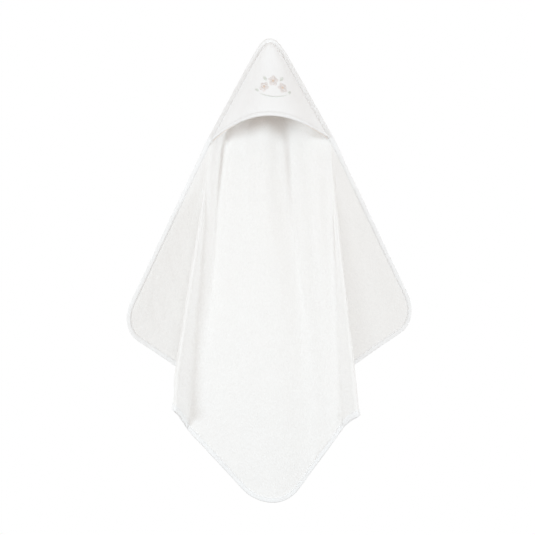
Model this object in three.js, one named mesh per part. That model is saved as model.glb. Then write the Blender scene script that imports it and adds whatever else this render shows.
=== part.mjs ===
// Hooded baby towel, hanging from the peak of its hood. Millimetres, +Z up, the front faces -Y.
// The origin is the top of the rounded peak.
//
// The towel is one square of terry. Flat coordinates (u, v) name every point of it: u runs down the
// diagonal from the hood's corner and v runs to the right of that diagonal. The cloth hangs in three
// parts: the middle, and on each side a fan of straight lines that spread from the hood's front
// corner and fold once out and once back, which makes the pleat and the wing behind it.
import * as THREE from "three";
import { mergeVertices } from "three/addons/utils/BufferGeometryUtils.js";

// ---- Driving dimensions -------------------------------------------------------------------------
const SIDE = 750; // side of the flat square
const PEAK_CORNER_R = 75; // cut radius of the hood's corner
const WING_CORNER_R = 68; // cut radius of the two side corners
const FOOT_CORNER_R = 98; // cut radius of the lowest corner
const HOOD_LEG = 288; // length of each sewn side of the hood

const TERRY = 3; // thickness of the towel's cloth
const LINING = 2; // thickness of the hood's terry lining
const HOOD_CLOTH = 0.9; // thickness of the hood's woven front
const BACKING = 0.4; // thickness of the stabiliser behind the embroidery
const GAP = 0.4; // clearance between neighbouring pieces
const TAPE_WIDTH = 11; // binding tape, as seen from one side
const FACE_TAPE_WIDTH = 9; // the same on the hood's face edge
const TAPE = 0.9; // thickness of the tape
const TAPE_ROUND = 1.2; // rounding of the tape where it turns over the edge
const STITCH_INSET = 2; // from the tape's inner edge to the middle of its stitches
const THREAD_WIDTH = 1.2;
const THREAD_HEIGHT = 0.5;
const EMBROIDERY_HEIGHT = 0.8;
const LAYER_GAP = 0.35; // clearance between the layers of the hood and its embroidery

const FACE_DROP = 200.5; // from the sharp corner down to the middle of the hood's face edge
const FACE_FORWARD = 70; // how far the middle of the face edge stands before the seams
const FACE_CURVE = 2.2; // power of the face edge's fall from its middle to its ends
const PEAK_FORWARD = 0.6; // how far the hood stands forward near the peak, as a part of its lower edge's
const HOOD_ROUND = 1.25; // half the angle of the hood's round front, in radians
const FOLD_R = 5; // radius of the pleats' folds
const DEEP_PLEAT = 190; // distance below the front corner where the pleat is fully formed
const PLEAT_BEGINS = 0.2; // part of that distance over which the cloth stays open
const DRAW_BEGINS = 0.88; // part of the way to the hem beyond which the outer folds draw in
const WING_EASES = [0.45, 0.95]; // parts of the fan between which the wing comes to its hem's take-up
const CENTRE_TAKE_UP = 0.932; // hanging length over flat length beside the middle
const LEAN = 0.0087; // how far the lowest corner hangs to the right, per millimetre down

// Each side: where the hood's front corner hangs (out from the middle and down from the sharp corner),
// how far its face edge bends like an S, how flat the hood's front lies beside the seam, how far the
// outer fold draws in at the hem, the take-up of the wing beside the inner fold and along its hem, the
// part of the fan in which the cloth comes to that take-up, and the pleat as [outward, back] per unit
// of depth.
const LEFT = {
  sign: -1, out: 137, drop: 252, faceBend: 0.1, hoodFlat: 1.35,
  draw: 0.08, wingTakeUp: 0.99, hemTakeUp: 0.985, eased: 0.3,
  start: [0.08, 0.02], outer: [0.152, -0.035], inner: [0.04, 0.1], hem: [0.486, 0.22],
};
const RIGHT = {
  sign: 1, out: 139, drop: 247, faceBend: 0.25, hoodFlat: 0.8,
  draw: 0.015, wingTakeUp: 0.965, hemTakeUp: 0.98, eased: 0.14,
  start: [0.045, 0.004], outer: [0.106, -0.03], inner: [0.005, 0.1], hem: [0.5, 0.35],
};

// The embroidered motif: where its middle lies on the hood, and its parts as [right, up] from there.
const MOTIF_U = 135;
const MOTIF_V = 5;
const BLOSSOMS = [
  { name: "left", at: [-19, -4], radius: 11.5, spin: 0.3 },
  { name: "middle", at: [3, 9], radius: 12.5, spin: 0.9 },
  { name: "right", at: [26, -3], radius: 12, spin: 0.1 },
];
const LEAVES = [
  { name: "upper_left", at: [-17, 15], length: 13, lean: 2.2 },
  { name: "upper_right", at: [24, 17], length: 13, lean: 0.9 },
  { name: "lower_left", at: [-37, -8], length: 12, lean: 2.4 },
  { name: "lower_right", at: [44, -9], length: 12, lean: 0.8 },
];

const PETALS = 5;
const LEAF_WIDTH = 0.42; // a leaf's width over its length
const STEM = { from: [-30, -17], to: [37, -17], sag: 10, width: 1.6 };
const BACKING_OVAL = [52, 36]; // half width and half height of the backing

// Mesh resolution.
const ROWS_UP = 7; // rows of the middle above the front corners
const DEPTHS = [0.05, 0.11, 0.18, 0.27, 0.38, 0.52, 0.68, 0.84, 1]; // rows below them, as parts of the depth
const MIDDLE_COLUMNS = 24;
const HOOD_COLUMNS = 20;
const HOOD_ROWS = 10;
const FOLD_STEPS = 5; // around each fold of the pleats
const CORNER_STEPS = 6; // around each wing's corner
const PETAL_STEPS = 5;
const CENTRE_STEPS = 10;
const LEAF_STEPS = 12;
const STEM_STEPS = 14;
const BACKING_RINGS = 4;
const BACKING_STEPS = 16;

// ---- Small helpers ------------------------------------------------------------------------------
const clamp01 = (t) => Math.min(1, Math.max(0, t));
const smooth = (a, b, t) => {
  const s = clamp01((t - a) / (b - a));
  return s * s * (3 - 2 * s);
};
const mix = (a, b, t) => a + (b - a) * t;
const FRONT = new THREE.Vector3(0, -1, 0);
const bump = (t, centre, width) => Math.exp(-(((t - centre) / width) ** 2));
const vec = (x, y, z) => new THREE.Vector3(x, y, z);
const range = (n) => Array.from({ length: n }, (_, i) => i);
const solve = (low, high, tooFar) => {
  for (let i = 0; i < 50; i++) {
    const t = (low + high) / 2;
    if (tooFar(t)) high = t;
    else low = t;
  }
  return (low + high) / 2;
};

// ---- Derived dimensions -------------------------------------------------------------------------
const DIAGONAL = SIDE * Math.SQRT2;
const HOOD_DEPTH = HOOD_LEG / Math.SQRT2; // flat distance from the sharp corner to the face edge
const PEAK_CUT = PEAK_CORNER_R * (Math.SQRT2 - 1); // what the rounding takes off the corner
const TAPE_SHIFT = TAPE_WIDTH / Math.SQRT2;
const INNER_U = HOOD_DEPTH + TAPE_SHIFT; // the front corner, moved in to the tape's inner edge
const INNER_V = HOOD_DEPTH - TAPE_SHIFT;
const SLOT = TERRY / 2 + GAP; // half the room inside the folded tape
const OVER_TAPE = SLOT + TAPE; // half the height of the bound hem
const PANEL_REACH = TAPE_WIDTH - TAPE - GAP; // how far the towel's cloth goes into the tape

const HOOD_STEP = 6.6; // the hood's woven front lies this far before the towel at the seams
// The hood's lining lies this far behind its woven front, with room for the backing between them.
const LINING_STEP = HOOD_CLOTH / 2 + LAYER_GAP * 4 + BACKING + LINING / 2;
const HOOD_INSET = TAPE_WIDTH + 2; // the hood's side edges, measured in from the towel's hem
const SEAM_LIFT = HOOD_STEP + HOOD_CLOTH / 2 + GAP - OVER_TAPE; // extra height of the tape over the hood

for (const s of [LEFT, RIGHT]) {
  const tilt = Math.atan2(s.out, s.drop);
  s.innerOut = s.out - TAPE_WIDTH * Math.cos(tilt);
  s.innerDrop = s.drop + TAPE_WIDTH * Math.sin(tilt);
  s.innerPeak = TAPE_WIDTH / Math.sin(tilt); // depth at which the two inner tape edges would meet
  s.startDir = vec(s.start[0], s.start[1], -1).normalize();
  const down = CENTRE_TAKE_UP / -s.startDir.z;
  s.spread = s.startDir.x * down; // outward and backward travel of the middle's edge, per unit
  s.recede = s.startDir.y * down;
}
const sideOf = (v) => (v < 0 ? LEFT : RIGHT);

// ---- The towel's outline ------------------------------------------------------------------------
// How far inside the square's rounded outline a flat point lies.
function insideBy(u, v) {
  const a = (u + v) / Math.SQRT2 - SIDE / 2;
  const b = (u - v) / Math.SQRT2 - SIDE / 2;
  const r = a * b < 0 ? WING_CORNER_R : a < 0 ? PEAK_CORNER_R : FOOT_CORNER_R;
  const [p, q] = [Math.abs(a) - SIDE / 2 + r, Math.abs(b) - SIDE / 2 + r];
  return r - Math.hypot(Math.max(p, 0), Math.max(q, 0)) - Math.min(Math.max(p, q), 0);
}

// The outline's outward direction at a flat point near it, as [u, v].
function outwards(u, v) {
  const d = 0.01;
  const gu = insideBy(u - d, v) - insideBy(u + d, v);
  const gv = insideBy(u, v - d) - insideBy(u, v + d);
  const size = Math.hypot(gu, gv);
  return [gu / size, gv / size];
}

const topOf = (v, inset) => solve(0, DIAGONAL / 2, (u) => insideBy(u, v) > inset);
const bottomOf = (v, inset) => solve(DIAGONAL / 2, DIAGONAL, (u) => insideBy(u, v) < inset);

// ---- The middle of the towel --------------------------------------------------------------------
// How far its soft vertical folds push it back: w runs from -1 to 1 across, u down. A fold runs from
// its place beside the hood to its place near the hem. It fades out between the depths in ends, and
// back is negative where it comes forward.
const PAST_HEM = [DIAGONAL, DIAGONAL * 2];
const FOLDS = [
  { from: 0.25, to: 0.56, width: 0.18, back: 17, ends: PAST_HEM },
  { from: -0.82, to: -0.92, width: 0.11, back: 16, ends: [480, 760] },
  { from: -0.1, to: 0, width: 0.22, back: -10, ends: PAST_HEM },
  { from: 0.68, to: 0.68, width: 0.22, back: -8, ends: PAST_HEM },
];
const FOLDS_LOW = 800; // depth at which the folds reach their lower places
const HOLLOW = 10; // how deep the middle sinks in behind the hood
const HOLLOW_END = 480; // and the depth where it is flat again
const SEAM_STIFFENS = 45; // the seams and the pleats hold the cloth flat this far beside them
const PLEAT_STIFFENS = 0.22; // as a part of the middle's half width
const LOW_FOLDS = 0.5; // how deep the folds are near the hem, as a part of their depth beside the hood

function middleFolds(u, v, w) {
  const low = smooth(HOOD_DEPTH, FOLDS_LOW, u);
  const folds = FOLDS.map((f) => {
    const across = bump(w, mix(f.from, f.to, low), f.width);
    return f.back * across * (1 - smooth(...f.ends, u));
  });
  const hollow = HOLLOW * (1 - w * w) * (1 - smooth(HOOD_DEPTH, HOLLOW_END, u));
  const waves = folds.reduce((sum, back) => sum + back, hollow);
  const fromSeam = u < DIAGONAL / 2 ? smooth(TAPE_WIDTH, TAPE_WIDTH + SEAM_STIFFENS, insideBy(u, v)) : 1;
  const held = smooth(0, PLEAT_STIFFENS, 1 - Math.abs(w)) * fromSeam;
  return waves * held * Math.min(1, u / HOOD_DEPTH) * mix(1, LOW_FOLDS, low);
}

function middle(u, v) {
  const s = sideOf(v);
  const below = Math.max(0, u - INNER_U);
  const width = Math.max(1, Math.min(u, INNER_U) - TAPE_SHIFT * 2); // half width of the cloth at this depth
  const w = v / width;
  const edge = s.innerPeak + ((s.innerDrop - s.innerPeak) * width) / INNER_V - width - TAPE_SHIFT * 2;
  const x = (v / INNER_V) * (s.innerOut + s.spread * below) + LEAN * below * (1 - w * w);
  const y = middleFolds(u, v, w) + s.recede * below * w * w;
  return vec(x, y, -(u + w * w * (edge - (1 - CENTRE_TAKE_UP) * below)));
}

// ---- The pleats ---------------------------------------------------------------------------------
// A line that wraps around circles, as a band around pulleys. turn is +1 for a circle on the line's
// left and -1 for one on its right. Gives straight and curved pieces in turn, with their lengths.
function wrapped(circles) {
  const lines = range(circles.length - 1).map((i) => {
    const [a, b] = [circles[i], circles[i + 1]];
    const [dx, dy] = [b.x - a.x, b.y - a.y];
    const side = b.turn * b.r - a.turn * a.r;
    const angle = Math.atan2(dy, dx) - Math.asin(side / Math.hypot(dx, dy));
    const touch = (c) => [c.x + c.turn * c.r * Math.sin(angle), c.y - c.turn * c.r * Math.cos(angle)];
    return { angle, from: touch(a), to: touch(b) };
  });
  const pieces = [];
  lines.forEach((line, i) => {
    const length = Math.hypot(line.to[0] - line.from[0], line.to[1] - line.from[1]);
    pieces.push({ length, at: (t) => [mix(line.from[0], line.to[0], t), mix(line.from[1], line.to[1], t)] });
    if (i === lines.length - 1) return;
    const c = circles[i + 1];
    let bend = lines[i + 1].angle - line.angle;
    bend += bend * c.turn < 0 ? 2 * Math.PI * c.turn : 0;
    const at = (t) => {
      const angle = line.angle + bend * t;
      return [c.x + c.turn * c.r * Math.sin(angle), c.y - c.turn * c.r * Math.cos(angle)];
    };
    pieces.push({ length: c.r * Math.abs(bend), at });
  });
  return pieces;
}

// The pleat's section at a depth below the front corner, in millimetres at that depth.
function pleatSection(s, depth) {
  const place = ([out, back]) => ({ x: out * depth, y: back * depth, r: 0, turn: 0 });
  const [start, outer, inner, hem] = [s.start, s.outer, s.inner, s.hem].map(place);
  outer.x -= FOLD_R;
  outer.y += FOLD_R;
  return wrapped([start, { ...outer, r: FOLD_R, turn: 1 }, { ...inner, r: FOLD_R, turn: -1 }, hem]);
}

// A point of the fan: reach is the flat distance from the corner, and column runs 0 to 1 over the
// front, 1 to 2 around the outer fold, 2 to 3 back, 3 to 4 around the inner fold and 4 to 5 to the hem.
// end is the reach at which this column meets the hem.
function fan(s, reach, column, end = SIDE) {
  const depth = Math.max(reach, DEEP_PLEAT);
  const pieces = pleatSection(s, depth);
  const piece = Math.min(4, Math.floor(column));
  const whole = pieces.reduce((sum, p) => sum + p.length, 0);
  const before = pieces.slice(0, piece).reduce((sum, p) => sum + p.length, 0);
  const t = (before + pieces[piece].length * (column - piece)) / whole;
  const folded = pieces[piece].at(column - piece).map((c) => c / depth);
  const straight = s.start.map((c, i) => mix(c, s.hem[i], t));
  const formed = smooth(PLEAT_BEGINS, 1, reach / DEEP_PLEAT);
  const [open, back] = straight.map((c, i) => mix(c, folded[i], formed));
  const onFold = smooth(0, 1, column) * (1 - smooth(2, 3, column));
  const out = open * (1 - s.draw * onFold * smooth(DRAW_BEGINS, 1, reach / end));
  const wing = mix(s.wingTakeUp, s.hemTakeUp, smooth(...WING_EASES, t));
  const takeUp = mix(CENTRE_TAKE_UP, wing, smooth(0, s.eased, t));
  const dir = vec(s.sign * out, back, -1).normalize();
  const turn = (t * Math.PI) / 4;
  return {
    u: INNER_U + reach * Math.cos(turn),
    v: s.sign * (INNER_V + reach * Math.sin(turn)),
    p: vec(s.sign * s.innerOut, 0, -s.innerDrop).addScaledVector(dir, reach * takeUp),
  };
}

// ---- The towel as a grid ------------------------------------------------------------------------
// Everything is measured from the sharp corner and then raised, so the origin is the rounded peak.
const raise = (p) => p.setZ(p.z + PEAK_CUT);

function middleColumn(v) {
  const top = Math.abs(v) < INNER_V ? topOf(v, TAPE_WIDTH) : INNER_U;
  const bottom = bottomOf(v, TAPE_WIDTH);
  const corner = Math.max(top, INNER_U);
  const rows = range(ROWS_UP).map((i) => mix(top, corner, i / ROWS_UP));
  rows.push(corner, ...DEPTHS.map((d) => mix(corner, bottom, d)));
  return rows.map((u) => ({ u, v, p: raise(middle(u, v)) }));
}

function fanColumn(s, column) {
  const reachOut = (reach) => {
    const { u, v } = fan(s, reach, column);
    return insideBy(u, v) < TAPE_WIDTH - 1e-6;
  };
  const straightRun = SIDE - HOOD_LEG - WING_CORNER_R;
  const end = column === 5 ? straightRun : solve(straightRun * 0.9, SIDE, reachOut);
  const rows = [...Array(ROWS_UP + 1).fill(0), ...DEPTHS.map((d) => d * end)];
  return rows.map((reach) => {
    const point = fan(s, reach, column, end);
    raise(point.p);
    return point;
  });
}

// Where the fan's columns stand: close together around the folds and along the wing's round corner.
function fanStops(s) {
  const aroundFold = (first) => range(FOLD_STEPS + 1).map((i) => first + i / FOLD_STEPS);
  const stops = [0, 0.5, ...aroundFold(1), 2.5, ...aroundFold(3)];
  const pieces = pleatSection(s, SIDE / 2);
  const whole = pieces.reduce((sum, p) => sum + p.length, 0);
  const last = pieces[4].length / whole; // part of the fan that lies beyond the inner fold
  const r = WING_CORNER_R - TAPE_WIDTH;
  const run = SIDE - HOOD_LEG - WING_CORNER_R;
  const corner = range(CORNER_STEPS + 1).map((i) => {
    const a = (Math.PI / 2) * (1 - i / CORNER_STEPS);
    return Math.atan2(r * (1 - Math.cos(a)), run + r * Math.sin(a)) / (Math.PI / 4);
  });
  const first = 5 - corner[0] / last;
  stops.push(...[0.25, 0.5, 0.75].map((t) => mix(4, first, t)), ...corner.map((c) => 5 - c / last));
  return stops;
}

function towelGrid() {
  const columns = [];
  for (const stop of fanStops(LEFT).reverse()) if (stop > 0) columns.push(fanColumn(LEFT, stop));
  for (const i of range(MIDDLE_COLUMNS + 1)) {
    columns.push(middleColumn(INNER_V * (-1 + (2 * i) / MIDDLE_COLUMNS)));
  }
  for (const stop of fanStops(RIGHT)) if (stop > 0) columns.push(fanColumn(RIGHT, stop));
  return columns;
}

// ---- Sheets of cloth ----------------------------------------------------------------------------
// Turns columns of points into one surface: its points, triangles that face the front, and its rim.
function surfaceOf(columns) {
  const points = [];
  const seen = new Map();
  const index = columns.map((column) =>
    column.map((point) => {
      const key = `${point.u.toFixed(3)},${point.v.toFixed(3)}`;
      if (!seen.has(key)) {
        seen.set(key, points.length);
        points.push({ ...point, n: vec(0, 0, 0) });
      }
      return seen.get(key);
    }),
  );
  const triangles = [];
  const add = (a, b, c) => a !== b && b !== c && c !== a && triangles.push([a, b, c]);
  for (let i = 0; i + 1 < index.length; i++)
    for (let j = 0; j + 1 < index[i].length; j++) {
      const [a, b, c, d] = [index[i][j], index[i][j + 1], index[i + 1][j + 1], index[i + 1][j]];
      add(a, b, c);
      add(a, c, d);
    }
  const normalsOf = () =>
    triangles.forEach(([a, b, c]) => {
      const [p, q, r] = [points[a].p, points[b].p, points[c].p];
      const face = q.clone().sub(p).cross(r.clone().sub(p));
      for (const i of [a, b, c]) points[i].n.add(face);
    });
  normalsOf();
  if (points.reduce((sum, { n }) => sum + n.y, 0) > 0) {
    for (const triangle of triangles) triangle.reverse();
    for (const { n } of points) n.negate();
  }
  for (const { n } of points) n.normalize();
  return { points, triangles, index, rim: rimOf(triangles) };
}

// The one loop of edges that belong to a single triangle, in the triangles' own direction.
function rimOf(triangles) {
  const next = new Map();
  const edges = new Set(triangles.flatMap(([a, b, c]) => [`${a},${b}`, `${b},${c}`, `${c},${a}`]));
  for (const edge of edges) {
    const [a, b] = edge.split(",").map(Number);
    if (!edges.has(`${b},${a}`)) next.set(a, b);
  }
  const loop = [[...next.keys()][0]];
  while (next.get(loop.at(-1)) !== loop[0]) loop.push(next.get(loop.at(-1)));
  if (loop.length !== next.size) throw new Error("a sheet must have exactly one rim");
  return loop;
}

function meshOf(name, look, positions, faces) {
  const geometry = new THREE.BufferGeometry();
  const numbers = positions.flatMap((p) => p.toArray());
  geometry.setAttribute("position", new THREE.Float32BufferAttribute(numbers, 3));
  geometry.setIndex(faces.flat());
  const mesh = new THREE.Mesh(mergeVertices(geometry, 1e-4), look());
  mesh.name = name;
  return mesh;
}

// A slab of cloth between two heights over a surface. Heights are measured towards the front.
function slab(name, look, surface, back, front) {
  const { points, triangles, rim } = surface;
  const count = points.length;
  const positions = [front, back].flatMap((h) => points.map(({ p, n }) => p.clone().addScaledVector(n, h)));
  const faces = [...triangles, ...triangles.map(([a, b, c]) => [a + count, c + count, b + count])];
  rim.forEach((a, i) => {
    const b = rim[(i + 1) % rim.length];
    faces.push([b, a, a + count], [b, a + count, b + count]);
  });
  return meshOf(name, look, positions, faces);
}

// Adds a strip below a surface's last row that runs on outwards from its stations.
function withTongue(surface, stations, reach) {
  const count = surface.points.length;
  const row = surface.index.map((column) => column.at(-1));
  const triangles = [...surface.triangles];
  for (let i = 0; i + 1 < row.length; i++)
    triangles.push([row[i], count + i, row[i + 1]], [count + i, count + i + 1, row[i + 1]]);
  const points = [...surface.points, ...stations.map((s) => ({ p: along(s, reach, 0), n: s.n }))];
  return { points, triangles, rim: rimOf(triangles) };
}

// Adds a strip around a surface's rim that runs on outwards by each station's own step.
function extended(surface, stations, reach) {
  const count = surface.points.length;
  const points = [...surface.points, ...stations.map((s) => ({ p: along(s, reach, 0), n: s.n }))];
  const triangles = [...surface.triangles];
  surface.rim.forEach((a, i) => {
    points[a] = stations[i];
    const j = (i + 1) % surface.rim.length;
    triangles.push([surface.rim[j], a, count + i], [surface.rim[j], count + i, count + j]);
  });
  return { points, triangles, rim: stations.map((_, i) => count + i) };
}

// ---- Tape and thread ----------------------------------------------------------------------------
// A station stands on a sheet's rim. out points off the sheet, one unit per millimetre of tape.
const along = (station, out, height) =>
  station.p.clone().addScaledVector(station.out, out).addScaledVector(station.n, height);

// Sweeps a closed profile of [out, height] points along stations, in a loop or with closed ends.
function sweep(name, look, stations, profileAt, closed) {
  const profiles = stations.map(profileAt);
  const rings = stations.map((s, i) => profiles[i].map(([out, height]) => along(s, out, height)));
  const size = rings[0].length;
  const faces = [];
  const runs = closed ? rings.length : rings.length - 1;
  for (let i = 0; i < runs; i++)
    for (let j = 0; j < size; j++) {
      const k = (j + 1) % size;
      const [a, b] = [i * size, ((i + 1) % rings.length) * size];
      if (profiles[i][k][0] > profiles[i][j][0]) faces.push([a + j, a + k, b + j], [a + k, b + k, b + j]);
      else faces.push([a + j, a + k, b + k], [a + j, b + k, b + j]); // the diagonals match the cloth's
    }
  if (!closed) {
    const outline = profiles[0].map((p) => new THREE.Vector2(...p));
    const cap = THREE.ShapeUtils.triangulateShape(outline, []);
    if (THREE.ShapeUtils.area(outline) < 0) for (const triangle of cap) triangle.reverse();
    const last = (rings.length - 1) * size;
    for (const [a, b, c] of cap) faces.push([c, b, a], [last + a, last + b, last + c]);
  }
  const outward = volumeOf(rings.flat(), faces) > 0;
  return meshOf(name, look, rings.flat(), outward ? faces : faces.map(([a, b, c]) => [a, c, b]));
}

const volumeOf = (points, faces) =>
  faces.reduce((sum, [a, b, c]) => sum + points[a].dot(points[b].clone().cross(points[c])), 0);

// The section of a tape folded over an edge. top and bottom are the outer faces, slotTop and
// slotBottom the faces of the room inside, and width is how far the tape reaches over the cloth.
function tapeProfile(width, bottom, slotBottom, slotTop, top) {
  return [
    [0, top], [width - TAPE_ROUND, top], [width, top - TAPE_ROUND],
    [width, bottom + TAPE_ROUND], [width - TAPE_ROUND, bottom], [0, bottom],
    [0, slotBottom], [width - TAPE, slotBottom], [width - TAPE, slotTop], [0, slotTop],
  ];
}

// The section of a row of stitches that lies on a tape's face, on the side given by sign.
function threadProfile(face, sign) {
  const [near, far] = [face + sign * GAP, face + sign * (GAP + THREAD_HEIGHT)];
  const half = THREAD_WIDTH / 2;
  return [[STITCH_INSET - half, near], [STITCH_INSET + half, near], [STITCH_INSET, far]];
}

// Stations on the towel's rim. Below the hood's corners the tape runs on along the cloth's straight
// lines, so it keeps to the folds. Elsewhere it runs square to the rim.
function hemStations(surface) {
  const { points, rim, index } = surface;
  const above = new Map(index.map((column) => [column.at(-1), column.at(-2)]));
  return rim.map((i, k) => {
    const { u, v, p, n } = points[i];
    const [before, after] = [rim.at(k - 1), rim[(k + 1) % rim.length]];
    const flat = 1 - smooth(INNER_U - 5, INNER_U + 60, u); // the cloth lies flat where the hood is sewn on
    const facing = n.clone().lerp(FRONT, flat).normalize();
    const out = points[after].p.clone().sub(points[before].p).cross(facing).normalize();
    if (above.has(i)) {
      const from = points[above.get(i)];
      const [ou, ov] = outwards(u, v);
      const run = Math.hypot(u - from.u, v - from.v);
      const square = ((u - from.u) * ou + (v - from.v) * ov) / run;
      const lowerHem = 1 - smooth(0.3, 0.75, Math.abs(ov) - ou + 0.3);
      if (lowerHem > 0) {
        const ruled = p.clone().sub(from.p).normalize().divideScalar(Math.max(square, 0.4));
        out.lerp(ruled, lowerHem);
      }
    }
    return { u, v, p, n: facing, out };
  });
}

// The hem's tape stands higher where it also covers the hood's seam.
const seamLift = (s) => SEAM_LIFT * (1 - smooth(INNER_U - 6, INNER_U + 3, s.u));

// ---- The hood -----------------------------------------------------------------------------------
// A point of the hood's front. Its side edges lie just inside the hem's tape; across runs -1 to 1.
function hood(u, across) {
  const half = solve(0, u, (v) => insideBy(u, v) < HOOD_INSET);
  const s = across < 0 ? LEFT : RIGHT;
  const edge = middle(u, s.sign * half);
  const w = Math.abs(across);
  const round = Math.sin(HOOD_ROUND * w) / Math.sin(HOOD_ROUND);
  const bulge = (Math.cos(HOOD_ROUND * w) - Math.cos(HOOD_ROUND)) / (1 - Math.cos(HOOD_ROUND));
  const middleDrop = mix(u, (FACE_DROP * u) / HOOD_DEPTH, smooth(PEAK_CUT, HOOD_DEPTH, u));
  const drop = mix(middleDrop, -edge.z, mix(round ** FACE_CURVE, smooth(0, 1, round), s.faceBend));
  const stand = FACE_FORWARD * mix(PEAK_FORWARD, 1, smooth(0, HOOD_DEPTH, u));
  const reach = stand * Math.max(bulge, 0) ** s.hoodFlat;
  const forward = (reach * half) / HOOD_DEPTH;
  return { u, v: s.sign * w * half, p: raise(vec(edge.x * round, -HOOD_STEP - forward, -drop)) };
}

function hoodSurface() {
  const [top, bottom] = [topOf(0, HOOD_INSET) + 0.01, HOOD_DEPTH - FACE_TAPE_WIDTH];
  const columns = range(HOOD_COLUMNS + 1).map((i) => {
    const across = -1 + (2 * i) / HOOD_COLUMNS;
    return range(HOOD_ROWS + 1).map((j) => hood(mix(top, bottom, j / HOOD_ROWS), across));
  });
  return surfaceOf(columns);
}

// Stations along the hood's face edge, where the tape runs straight on down the cloth.
function faceStations({ points, index }) {
  return index.map((column) => {
    const { p, n } = points[column.at(-1)];
    const out = p.clone().sub(points[column.at(-2)].p);
    return { p, n, out: out.addScaledVector(n, -out.dot(n)).normalize() };
  });
}

// The same stations for the tape, which stops a little short of the seams at both ends.
function shortened(stations) {
  const end = (a, b) => ({ ...a, p: a.p.clone().lerp(b.p, 0.4) });
  return [end(stations[0], stations[1]), ...stations.slice(1, -1), end(stations.at(-1), stations.at(-2))];
}

// The hood's front at a flat place, as millimetres right of and up from the middle of the motif.
function motifPoint(right, up) {
  const u = MOTIF_U - up;
  const half = solve(0, u, (v) => insideBy(u, v) < HOOD_INSET);
  return hood(u, (MOTIF_V + right) / half);
}

// A patch of the hood's front around a flat place. outline gives the patch's edge, as [right, up]
// from that place, for an angle; the patch is built in rings.
function hoodPatch([right, up], outline, rings, steps) {
  const columns = range(steps + 1).map((i) => {
    const [dx, dz] = outline(((i % steps) * 2 * Math.PI) / steps);
    return range(rings + 1).map((j) => motifPoint(right + (dx * j) / rings, up + (dz * j) / rings));
  });
  return surfaceOf(columns);
}

// ---- Embroidery outlines ------------------------------------------------------------------------
const blossom = (radius, spin) => (angle) => {
  const r = radius * (0.68 + 0.32 * Math.abs(Math.sin((PETALS / 2) * (angle - spin))) ** 0.7);
  return [r * Math.cos(angle), r * Math.sin(angle)];
};
const oval = (a, b) => (angle) => [a * Math.cos(angle), b * Math.sin(angle)];
const leaf = (length, width, lean) => (angle) => {
  const x = (length / 2) * Math.cos(angle);
  const y = (width / 2) * Math.sin(angle) * Math.abs(Math.sin(angle)) ** 0.4;
  return [x * Math.cos(lean) - y * Math.sin(lean), x * Math.sin(lean) + y * Math.cos(lean)];
};

// A thin stem that sags between two ends, as a strip of the hood's front.
function stemSurface({ from, to, sag, width }) {
  const columns = range(STEM_STEPS + 1).map((i) => {
    const t = i / STEM_STEPS;
    const x = mix(from[0], to[0], t);
    const z = mix(from[1], to[1], t) - sag * 4 * t * (1 - t);
    return [1, 0, -1].map((side) => motifPoint(x, z + (side * width) / 2));
  });
  return surfaceOf(columns);
}

// ---- Looks --------------------------------------------------------------------------------------
const lookOf = (color, roughness) => () => new THREE.MeshStandardMaterial({ color, roughness });
const terryLook = lookOf(0xf4f3f1, 0.95);
const liningLook = lookOf(0xf2f1ef, 0.95);
const clothLook = lookOf(0xf6f5f4, 0.7);
const tapeLook = lookOf(0xf7f6f4, 0.6);
const threadLook = lookOf(0xfbfaf8, 0.5);
const backingLook = lookOf(0xf0f0ee, 0.9);
const petalLook = lookOf(0xe9e4dc, 0.5);
const centreLook = lookOf(0xe8cdb6, 0.5);
const leafLook = lookOf(0xd4d6d0, 0.5);

// ---- Assembly -----------------------------------------------------------------------------------
const assembly = new THREE.Group();
assembly.name = "hooded_baby_towel";

function addTowel() {
  const surface = surfaceOf(towelGrid());
  const stations = hemStations(surface);
  const front = stations.map((s) => OVER_TAPE + seamLift(s));
  const tape = (_, i) => tapeProfile(TAPE_WIDTH, -OVER_TAPE, -SLOT, SLOT, front[i]);
  assembly.add(
    slab("body_panel", terryLook, extended(surface, stations, PANEL_REACH), -TERRY / 2, TERRY / 2),
    sweep("hem_binding", tapeLook, stations, tape, true),
    sweep("hem_stitching_front", threadLook, stations, (_, i) => threadProfile(front[i], 1), true),
    sweep("hem_stitching_back", threadLook, stations, () => threadProfile(-OVER_TAPE, -1), true),
  );
}

function addHood() {
  const surface = hoodSurface();
  const stations = faceStations(surface);
  const cloth = withTongue(surface, stations, FACE_TAPE_WIDTH - TAPE - GAP);
  const [liningFront, liningBack] = [LINING / 2 - LINING_STEP, -LINING / 2 - LINING_STEP];
  const tapeFace = HOOD_CLOTH / 2 + GAP + TAPE;
  const tape = () =>
    tapeProfile(FACE_TAPE_WIDTH, liningBack - GAP - TAPE, liningBack - GAP, HOOD_CLOTH / 2 + GAP, tapeFace);
  assembly.add(
    slab("hood_panel", clothLook, cloth, -HOOD_CLOTH / 2, HOOD_CLOTH / 2),
    slab("hood_lining", liningLook, cloth, liningBack, liningFront),
    sweep("hood_edge_binding", tapeLook, shortened(stations), tape, false),
    sweep("hood_edge_stitching", threadLook, shortened(stations), () => threadProfile(tapeFace, 1), false),
  );
}

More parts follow.
